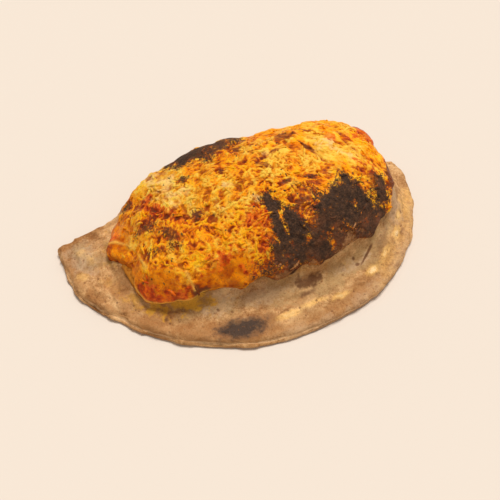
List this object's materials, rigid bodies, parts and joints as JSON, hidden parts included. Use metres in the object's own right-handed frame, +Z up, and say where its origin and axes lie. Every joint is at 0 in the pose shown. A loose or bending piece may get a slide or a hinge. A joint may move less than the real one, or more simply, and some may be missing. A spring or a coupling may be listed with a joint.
{
  "type": "calzone",
  "caption": "Baked calzone: a folded half-moon of pizza dough over a filled dome, with a pinched rim, tomato sauce and melted, partly scorched grated cheese on top.",
  "frame": {"origin": "middle of the flat base", "axes": "+X along the fold from its left pointed end to its right one, -Y towards the pinched curved rim, +Z up"},
  "size_m": [0.2982, 0.1716, 0.0728],
  "materials": {
    "dough": "dry floury baked crust, tan to brown, toasted on its ridges",
    "sauce": "moist cooked tomato, dark orange-red, with an oily sheen",
    "cheese": "melted shreds, golden to orange, oily, scorched to near black in patches"
  },
  "bodies": {
    "root": {"dough": "dough", "sauce": "sauce", "cheese": "cheese"}
  },
  "joints": []
}
